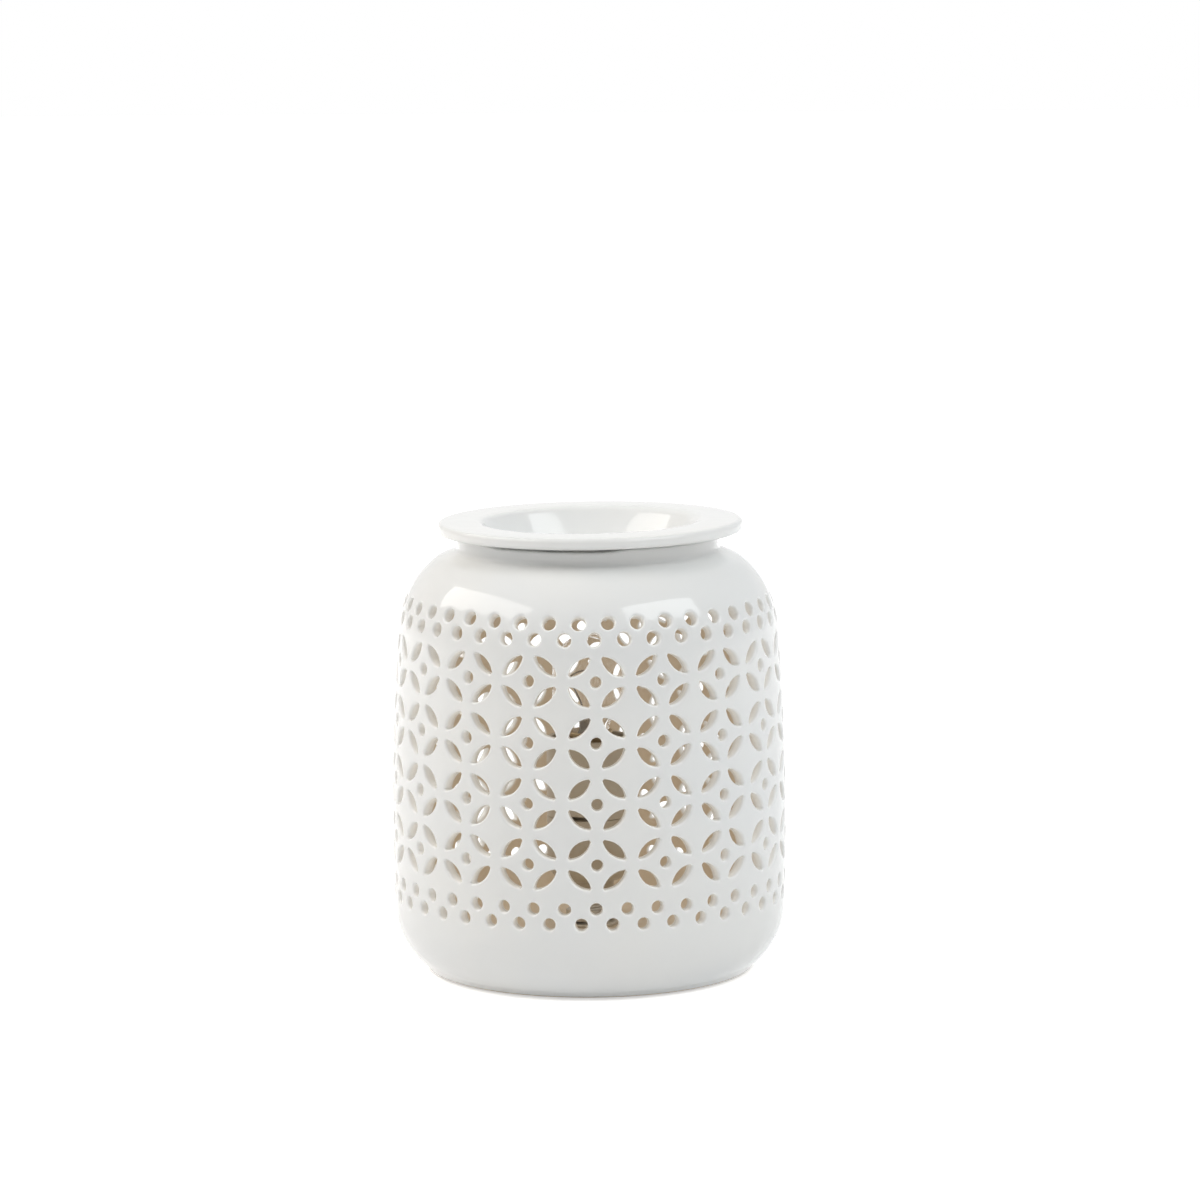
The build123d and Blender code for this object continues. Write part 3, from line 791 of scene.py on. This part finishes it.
dish = dict(
    radius=49.8, top=148.3, rim=4.2, plug=38.0, seatArc=3.4, plugSide=10.0, bottom=123.5,
    bowl=33.6, bowlEdge=4.0, bowlSlope=61.0, bowlBottom=127.5, bowlTurn=11.0, around=256,
    edgeTop=1.5, edgeUnder=1.2, underRise=0.4,  # the rim's edge, and its underside's slope
    sag=0.9, lean=0.8, outOfRound=0.15,  # hand-thrown unevenness of the rim
)


# a bowl's line from the axis out and up to its rim: a wide bottom arc, then a tighter side arc
def bowlLine(half, depth, side, height, steps):
    run = half - side
    radius = (run**2 + depth**2 - side**2) / (2 * (depth - side))
    centre = (0, height - depth + radius)
    lean = degrees(atan2(centre[1] - height, run))
    return arc(centre, radius, -90, -lean, steps) + arc((run, height), side, -lean, 0, steps // 2)[1:]


def makeDish(d):
    under = d["top"] - d["rim"]
    low, high = d["edgeUnder"], d["edgeTop"]
    seat = (d["plug"] + d["seatArc"], under - d["seatArc"])
    edge = (d["bowl"] + d["bowlEdge"], d["top"] - d["bowlEdge"])
    section = bowlLine(d["plug"], seat[1] - d["bottom"], d["plugSide"], seat[1], 20)
    section += arc(seat, d["seatArc"], 180, 90, 6)[1:]
    section += arc((d["radius"] - low, under + d["underRise"] + low), low, -90, 0, 6)
    section += arc((d["radius"] - high, d["top"] - high), high, 0, 90, 6)
    section += arc(edge, d["bowlEdge"], 90, 90 + d["bowlSlope"], 8)
    r, z = section[-1]
    foot = r - (z - d["bowlBottom"]) / tan(radians(d["bowlSlope"]))
    section += eased([(r, z), (foot, d["bowlBottom"], d["bowlTurn"]), (0, d["bowlBottom"])], 16)[1:]

    def thrown(r, z, turn):
        out = min(max((r - d["plug"]) / (d["radius"] - d["plug"]), (z - under) / d["rim"], 0), 1)**2
        wave = (sin(2 * turn + 0.7) + 0.5 * sin(3 * turn + 2.1) - 1.5) / 3
        r += out * (d["outOfRound"] * wave + d["lean"] * sin(turn))
        return onAxis(r, z + out * d["sag"] * (sin(turn + 0.15) - 1) / 2, turn)

    newObject("oilDish", lathe(section, d["around"], False, thrown), "dish", "porcelain", "oil_dish")


makeDish(dish)
print("dish made")


# felt under the foot

felt = dict(radius=47.6, thickness=2.2, softEdge=0.7, uneven=0.12, around=180)


def makeFelt(f):
    r, top, soft = f["radius"], f["thickness"], f["softEdge"]
    steps = [r * k / 12 for k in range(1, 12)]
    edge = eased([(r - 3, 0), (r, 0, soft), (r, top, soft), (r - 3, top)])
    section = [(0, 0), *((x, 0) for x in steps), *edge, *((x, top) for x in reversed(steps)), (0, top)]

    def cutByHand(rr, z, turn):
        return onAxis(rr + rr / r * f["uneven"] * (sin(5 * turn) + sin(11 * turn + 1) - 2), z, turn)

    piece = newObject("feltPad", lathe(section, f["around"], False, cutByHand), "jar", "felt", "felt_base")


makeFelt(felt)
print("felt laid")


# screw threads: a wave round a turned tube that fades at its ends

def threadTree():
    tree, given = newTree("screwThread", Float=("Pitch", "Depth", "From Height", "To Height", "Fade",
                                                "Beyond Radius"))
    x, y, z = placeIn(tree)
    flat = vector(x, y)
    radius = lengthOf(flat)
    turn = calc("DIVIDE", calc("ARCTAN2", y, x), 2 * pi)
    turns = calc("SUBTRACT", calc("DIVIDE", z, given["Pitch"]), turn)
    wave = calc("MULTIPLY_ADD", calc("SINE", calc("MULTIPLY", turns, 2 * pi)), 0.5, -0.5)
    low, high, fade = given["From Height"], given["To Height"], given["Fade"]
    start = fadeIn(z, low, calc("ADD", low, fade))
    end = fadeIn(z, calc("SUBTRACT", high, fade), high)
    size = calc("MULTIPLY", start, calc("SUBTRACT", 1, end))
    size = calc("MULTIPLY", given["Depth"], size)
    size = calc("MULTIPLY", size, calc("GREATER_THAN", radius, given["Beyond Radius"]))
    share = calc("DIVIDE", calc("MULTIPLY", wave, size), calc("MAXIMUM", radius, 1e-6))
    moved = grow("SetPosition", {"Geometry": given["Geometry"], "Offset": scaled(flat, share)})
    return endTree(moved[0], given)


screwThread = threadTree()


# a turned piece with a thread from one height to another on its points beyond a radius
def threaded(name, section, count, size, low, high, beyond, body, slot, node):
    lengths = {"Pitch": size["pitch"], "Depth": size["threadDepth"], "From Height": low, "To Height": high,
               "Fade": size["pitch"] * 0.8, "Beyond Radius": beyond}
    mesh = growMesh(name, screwThread, slot, lengths, start=meshFrom(lathe(section, count), name + "Blank"))
    newObject(name, mesh, body, slot, node)


# stem through the floor, with its washers and nuts

stem = dict(
    radius=5.0, bore=3.6, bottom=3.6, top=33.4, pitch=1.0, threadDepth=0.45,
    washer=9.5, washerThick=1.0, washers=(9.0, 14.0), nuts=(4.8, 15.0), nutFlats=14.0,
    nutHeight=4.2, around=72,
)


def makeStem(s):
    r, bore, low, high = s["radius"], s["bore"], s["bottom"], s["top"]
    side = between((r, low + 0.5), (r, high - 0.5), 0.25)
    section = [(bore, low), (r - 0.4, low), *side, (r - 0.4, high), (bore, high)]
    threaded("threadedStem", section, 40, s, low, high, (r + bore) / 2, "jar", "zinc_steel", "threaded_stem")
    bm = bmesh.new()
    for z in s["washers"]:
        wide, top = s["washer"], z + s["washerThick"]
        lathe(eased([(r, z), (wide, z, 0.25), (wide, top, 0.25), (r, top)]), s["around"], bm=bm)
    newObject("stemWashers", bm, "jar", "zinc_steel", "stem_washers")
    half = s["nutFlats"] / 2
    corner = half / cos(radians(30))

    def sixSided(rr, z, turn):
        flat = half / cos((turn + radians(30)) % radians(60) - radians(30))
        return onAxis(min(rr, flat) if rr > half else rr, z, turn)

    bm = bmesh.new()
    for z in s["nuts"]:
        lower = [(r, z + 0.4), (r + 0.4, z), (half - 0.2, z), (corner, z + 0.7)]
        upper = [(rr, 2 * z + s["nutHeight"] - height) for rr, height in reversed(lower)]
        lathe(lower + upper, s["around"], place=sixSided, bm=bm)
    mesh = meshFrom(bm, "stemNuts", finishes["zinc_steel"])
    mesh.shade_flat()
    newObject("stemNuts", mesh, "jar", "zinc_steel", "stem_nuts")


makeStem(stem)
print("stem, washers and nuts made")


# lamp holder

holder = dict(
    radius=14.0, wall=1.8, bottom=24.5, split=50.3, top=76.2, seam=0.05, around=144,
    stem=5.0, collar=7.8, shoulder=35.0, cupFloor=36.0, ledge=43.4, ledgeWidth=1.0,
    spigot=12.0, spigotWall=1.2, spigotEnd=45.2, cone=(51.3, 53.3),
    window=(6.0, 1.4, -12.0),  # width, height and turn of the latch's window
)
sharpFrom = radians(40)  # edges that turn more than this stay sharp


def makeHolder(h):
    r, cup = h["radius"], h["radius"] - h["wall"]
    ledge, seam = cup - h["ledgeWidth"], h["split"] - h["seam"]
    base = [(h["stem"], h["bottom"], 0.3), (h["collar"], h["bottom"], 0.6)]
    base += arc((h["collar"], h["shoulder"]), r - h["collar"], -90, 0, 10)
    base += [(r, seam - 1), (r, seam, 0.35), (cup, seam, 0.2), (cup, h["ledge"]), (ledge, h["ledge"]),
             (ledge, h["cupFloor"]), (h["stem"], h["cupFloor"])]
    newObject("holderBase", lathe(eased(base), h["around"]), "jar", "holder_plastic", "holder_base")
    inner = h["spigot"] - h["spigotWall"]
    seam = h["split"] + h["seam"]
    sleeve = [(inner, h["spigotEnd"], 0.2), (h["spigot"], h["spigotEnd"], 0.3), (h["spigot"], seam),
              (r, seam, 0.35), (r, seam + 2), (r, h["top"] - 2), (r, h["top"], 0.6),
              (cup, h["top"], 0.5), (cup, h["cone"][1]), (inner, h["cone"][0])]
    mesh = meshFrom(lathe(eased(sleeve), h["around"]), "holderSleeve", finishes["holder_plastic"])
    wide, tall, turn = h["window"]
    place = Matrix.Translation(Vector((0, -r + 1, h["split"] + tall / 2)) * mm)
    size = Matrix.Diagonal(Vector((wide, 6, tall, 1 / mm)) * mm)
    cutter = bmesh.new()
    bmesh.ops.create_cube(cutter, size=1, matrix=Matrix.Rotation(radians(turn), 4, "Z") @ place @ size)
    mesh = cutAway("holderSleeve", mesh, meshFrom(cutter, "windowCutter"))
    mesh.set_sharp_from_angle(angle=sharpFrom)
    newObject("holderSleeve", mesh, "jar", "holder_plastic", "holder_sleeve")


makeHolder(holder)

shell = dict(
    radius=7.45, wall=0.3, floor=4.0, bottom=52.0, top=73.5,
    pitch=2.82, threadDepth=0.42,
)


def makeShell(s):
    r, wall, low, high = s["radius"], s["wall"], s["bottom"], s["top"]
    outer = between((r, low + 0.4), (r, high - 0.2), 0.35)
    inner = between((r - wall, high - 0.2), (r - wall, low + wall + 0.1), 0.35)
    section = [(r - s["floor"], low), (r, low), *outer, (r - wall / 2, high), *inner]
    section += [(r - wall - 0.1, low + wall), (r - s["floor"], low + wall)]
    threaded("screwShell", section, 64, s, low + 1.0, high - 0.5, r - 1.2, "jar", "brass", "screw_shell")


makeShell(shell)
print("holder made")


# bulb

bulb = dict(
    cap=6.95, capWall=0.3, capBottom=57.6, capTop=75.4, flare=7.7, rim=78.2,
    pitch=2.82, threadDepth=0.45,
    glass=12.0, glassWall=0.5, glassBottom=73.6, neckTop=79.0, shoulder=88.0, sideTop=98.0,
    mount=3.2, mountGap=0.75, mountBottom=74.15, mountFlare=(75.0, 78.0), mountTop=85.0,
    pinch=(82.0, 2.4, 0.55),  # height, half width at the top and thickness to width of the flat part
    lead=0.25, leadFoot=1.9, leadSpread=6.4, leadDepth=5.0,
    filamentHeight=95.5, filamentRise=2.6, coil=0.24, coilWire=0.06, coilTurns=58,
)


def makeCap(b):
    r, wall, low, high = b["cap"], b["capWall"], b["capBottom"], b["capTop"]
    section = [(r - wall, low), (r - 0.05, low), *between((r, low + 0.2), (r, high), 0.35)]
    section += [(b["flare"], b["rim"] - 0.3), (b["flare"] - 0.05, b["rim"]), (b["flare"] - wall, b["rim"])]
    section += between((r - wall, high), (r - wall, low + 0.2), 0.35)
    threaded("bulbCap", section, 72, b, low + 0.4, high - 2.2, 0, "bulb", "brass", "bulb_cap")


# the blown envelope's line, a wall's thickness in from the outside: neck, two swelling arcs, side and dome
def glassLine(b, shrink):
    neck = b["cap"] - b["capWall"]
    wide, rise = b["glass"] - neck, b["shoulder"] - b["neckTop"]
    radius = (wide**2 + rise**2) / (4 * wide)
    angle = degrees(asin(rise / (2 * radius)))
    line = [(neck - shrink, b["glassBottom"] + shrink), (neck - shrink, b["neckTop"])]
    line += arc((neck + radius, b["neckTop"]), radius + shrink, 180, 180 - angle, 8)[1:]
    line += arc((b["glass"] - radius, b["shoulder"]), radius - shrink, -angle, 0, 8)[1:]
    line += arc((0, b["sideTop"]), b["glass"] - shrink, 0, 90, 14)
    return [(0, line[0][1]), *line[:-1], (0, line[-1][1])]


def makeGlassPieces(b):
    bm = lathe(glassLine(b, 0), 96, False)
    lathe(glassLine(b, b["glassWall"])[::-1], 96, False, bm=bm)
    newObject("bulbGlass", bm, "bulb", "clear_glass", "bulb_glass")
    neck, low, top = b["cap"] - b["capWall"] - b["mountGap"], b["mountBottom"], b["mountTop"]
    (flareLow, flareHigh), (pinchAt, pinchWide, flatten) = b["mountFlare"], b["pinch"]
    section = eased([(0, low), (neck, low, 0.3), (neck, flareLow, 0.4), (b["mount"], flareHigh, 1.2),
                     (b["mount"], pinchAt, 1.0), (pinchWide, top, 0.8), (0, top)], 5)

    def pinched(r, z, turn):
        x, y, z = onAxis(r, z, turn)
        flat = min(max((z - flareHigh) / (pinchAt - flareHigh), 0), 1)
        return x, y * (1 - flat * (1 - flatten)), z

    mesh = meshFrom(lathe(section, 40, False, pinched), "bulbMount", mountGlass)
    newObject("bulbMount", mesh, "bulb", "clear_glass", "bulb_mount")


# a round bar along points in the upright plane through the axis
def bar(bm, line, radius, sides=8):
    rings = []
    for i, (x, z) in enumerate(line):
        back, ahead = line[max(i - 1, 0)], line[min(i + 1, len(line) - 1)]
        side = Vector((ahead[1] - back[1], 0, back[0] - ahead[0])).normalized()
        turns = [2 * pi * k / sides for k in range(sides)]
        rings.append([bm.verts.new((Vector((x, radius * sin(t), z)) + side * (radius * cos(t))) * mm)
                      for t in turns])
    for a, b in zip(rings, rings[1:]):
        join(bm, a, b)
    bm.faces.new(rings[0][::-1])
    bm.faces.new(rings[-1])


def coilTree():
    sizes = ("Turns", "Coil Radius", "Wire Radius", "Length")
    tree, given = newTree("filamentCoil", Object=("Path",), Float=sizes)
    radius, length = given["Coil Radius"], given["Length"]
    spiral = grow("CurveSpiral", {"Resolution": 9, "Rotations": given["Turns"], "Height": length,
                                  "Start Radius": radius, "End Radius": radius})[0]
    x, y, z = placeIn(tree)
    along = {"Curves": shapeOf(given["Path"]), "Factor": calc("DIVIDE", z, length)}
    sample = grow("SampleCurve", along, mode="FACTOR")
    first = scaled(sample["Normal"], x)
    second = scaled(vectorCalc("CROSS_PRODUCT", sample["Tangent"], sample["Normal"]), y)
    spot = vectorCalc("ADD", sample["Position"], vectorCalc("ADD", first, second))
    coiled = grow("SetPosition", {"Geometry": spiral, "Position": spot})[0]
    profile = grow("CurvePrimitiveCircle", {"Resolution": 5, "Radius": given["Wire Radius"]})[0]
    tube = {"Curve": coiled, "Profile Curve": profile, "Fill Caps": True}
    return endTree(grow("CurveToMesh", tube)[0], given)


def makeFilament(b):
    bm = bmesh.new()
    low, high, lead = b["mountTop"], b["filamentHeight"], b["lead"]
    for side in (-1, 1):
        foot, top = side * b["leadFoot"], side * b["leadSpread"]
        line = [(foot, low - b["leadDepth"]), (foot, low), (foot + side * 0.3, low + 1)]
        bar(bm, line + split((foot, low + 1), (top, high), 6)[1:], lead)
    newObject("leadWires", bm, "bulb", "wire", "lead_wires")
    half, rise = b["leadSpread"], b["filamentRise"]
    radius = (half**2 + (rise - lead)**2) / (2 * (rise - lead))
    angle = degrees(asin(half / radius))
    path = lineCurve("filamentPath", arc((0, high + rise - radius), radius, 90 + angle, 90 - angle, 40))
    lengths = {"Coil Radius": b["coil"], "Wire Radius": b["coilWire"], "Length": 2 * half}
    mesh = growMesh("filamentCoil", coilTree(), "wire", lengths, {"Path": path, "Turns": b["coilTurns"]})
    bpy.data.objects.remove(path)
    mesh.shade_smooth()
    newObject("filamentCoil", mesh, "bulb", "wire", "filament")


makeCap(bulb)
makeGlassPieces(bulb)
makeFilament(bulb)
print("bulb made")


def makeBush(b):
    half, r, start, seat, end = b["hole"][1] / 2, b["bore"], b["start"], b["seat"], b["end"]
    plain, wide = ((across - high) / 2 for across, high in (b["hole"], b["shoulder"]))
    line = [(r, start + 0.4), (r + 0.4, start), (half - 0.5, start), (half, start + 0.4), (half, seat),
            (half + 1e-4, seat), (half + 1e-4, end - 0.5), (half - 0.5, end), (r + 0.5, end), (r, end - 0.5)]

    def stretched(rr, y, turn):
        nearBore = rr < r + 0.6 and rr < half - 0.6
        return onOval(b, rr, y, turn, 0 if nearBore else wide if y <= seat and rr <= half else plain)

    bm = lathe(line, b["around"], place=stretched)
    bmesh.ops.recalc_face_normals(bm, faces=bm.faces)
    mesh = meshFrom(bm, "cordBush", finishes["bush_rubber"])
    mesh.set_sharp_from_angle(angle=sharpFrom)
    newObject("cordBush", mesh, "jar", "bush_rubber", "cord_bush")


makeBush(bush)
print("bush made")


# pieces inside the holder and cap that keep their own meshes

ownFinish = {
    "lock_screw": "zinc_steel", "holder_core": "core_ceramic", "terminals": "brass",
    "terminal_screws": "zinc_steel", "centre_contact": "brass", "bulb_insulator": "dark_glass",
    "bulb_eyelet": "solder",
}
for name, slot in ownFinish.items():
    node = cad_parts[name]
    node.data.materials.clear()
    node.data.materials.append(finishes[slot])
print("other finishes given")


# floor and light

studio = dict(
    # azimuth, elevation and slant in degrees, distance, width and height in metres, radiance, colour, and
    # whether the glaze mirrors it
    windows=(
        ("leftWindow", -84, 40, 12, 1.6, 1.8, 0.57, 3.12, (1.0, 0.965, 0.92), True),
        ("leftFill", -80, 50, 0, 1.7, 1.8, 0.9, 1.3, (1.0, 0.955, 0.88), False),
        ("rightWindow", 56, 43, -9, 1.6, 1.2, 0.58, 3.38, (0.945, 0.985, 1.0), True),
        ("rightFill", 84, 52, 0, 1.7, 1.9, 1.0, 0.95, (0.955, 0.985, 1.0), False),
    ),
    aim=(0, 0, 0.075),
    ambient=0.3, darkFront=0.72,  # soft room light, and how much less comes from behind the camera
    overhead=0.09,  # and how much more from above
    floorHalf=6.0, floorGap=0.1 * mm, floorRough=0.9,
    floorWhite=0.92, floorLift=0.55, floorFar=(0.4, 1.6),  # far from the lamps the floor stays white
)


# one for rays that show the white background: straight to the camera, mirrored, or through glass
def plainRays(tree):
    seen = wire("ShaderNodeLightPath", tree=tree)
    plain = calc("MAXIMUM", seen["Is Camera Ray"], seen["Is Transmission Ray"])
    return calc("MAXIMUM", plain, seen["Is Glossy Ray"])


def makeFloor(s):
    bm = bmesh.new()
    bmesh.ops.create_grid(bm, size=s["floorHalf"], matrix=Matrix.Translation((0, 0, -s["floorGap"])))
    material, tree, shader = newMaterial("paleFloor", (s["floorWhite"],) * 3, s["floorRough"])
    near = s["floorLift"]
    far = fadeIn(lengthOf(placeOn(tree)), *s["floorFar"])
    lift = calc("MULTIPLY", plainRays(tree), calc("MULTIPLY_ADD", far, 1 - near, near))
    plug(shader, {"Emission Color": (1, 1, 1, 1), "Emission Strength": lift})
    addObject("floor", meshFrom(bm, "floor", material))


def makeRoom(s):
    world = bpy.data.worlds.new("studio")
    world.use_nodes = True
    scene.world = world
    tree = world.node_tree
    _, ahead, above = parts(placeOn(tree, "Generated"))
    front = calc("MULTIPLY", fadeIn(calc("MULTIPLY", ahead, -1), 0.2, 1.0),
                 calc("SUBTRACT", 1, fadeIn(above, 0.25, 0.75)))
    room = calc("MULTIPLY_ADD", front, -s["darkFront"] * s["ambient"], s["ambient"])
    room = calc("MULTIPLY_ADD", fadeIn(above, 0.6, 0.95), s["overhead"], room)
    light = calc("MAXIMUM", room, plainRays(tree))
    plug(tree.nodes["Background"], {"Color": (1, 1, 1, 1), "Strength": light})


def makeLamps(s):
    for name, azimuth, elevation, slant, distance, width, height, radiance, color, mirrored in s["windows"]:
        lamp = bpy.data.lights.new(name, "AREA")
        lamp.shape = "RECTANGLE"
        lamp.size, lamp.size_y = width, height
        lamp.energy = radiance * pi * width * height
        lamp.color = color
        a, e = radians(azimuth), radians(elevation)
        away = Vector((sin(a) * cos(e), -cos(a) * cos(e), sin(e)))
        piece = addObject(name, lamp)
        piece.visible_glossy = mirrored
        piece.location = Vector(s["aim"]) + away * distance
        facing = away.to_track_quat("Z", "Y").to_matrix() @ Matrix.Rotation(radians(slant), 3, "Z")
        piece.rotation_euler = facing.to_euler()


makeFloor(studio)
makeRoom(studio)
makeLamps(studio)
scene.view_settings.view_transform = "Standard"
print("studio lit")
